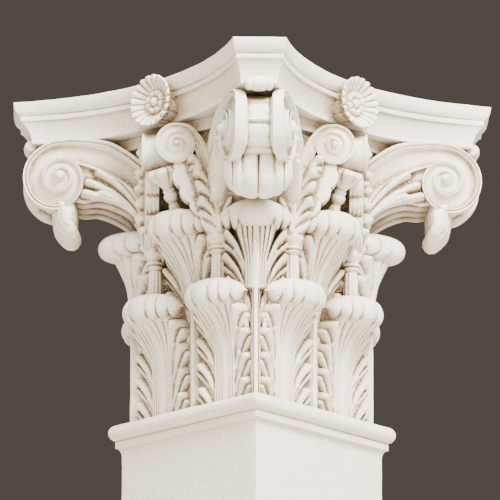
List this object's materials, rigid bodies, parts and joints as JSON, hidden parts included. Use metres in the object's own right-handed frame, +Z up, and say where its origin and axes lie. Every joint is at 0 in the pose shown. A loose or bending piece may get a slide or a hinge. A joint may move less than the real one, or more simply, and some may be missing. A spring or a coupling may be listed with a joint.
{
  "type": "corinthian capital",
  "caption": "Square Corinthian capital with acanthus leaves, corner volutes, helices and fleurons under a hollow-sided abacus, on a moulded pier head.",
  "frame": {"origin": "centre of the flat underside of the pier head", "axes": "+Z up along the axis of the pier, X and Y square to its faces"},
  "size_m": [0.618, 0.618, 0.7372],
  "materials": {
    "cast_stone": "matte, fine sandy grain",
    "pier_stone": "matte, fine sandy grain"
  },
  "bodies": {
    "root": {"capital": "cast_stone", "pier_head": "pier_stone"}
  },
  "joints": []
}
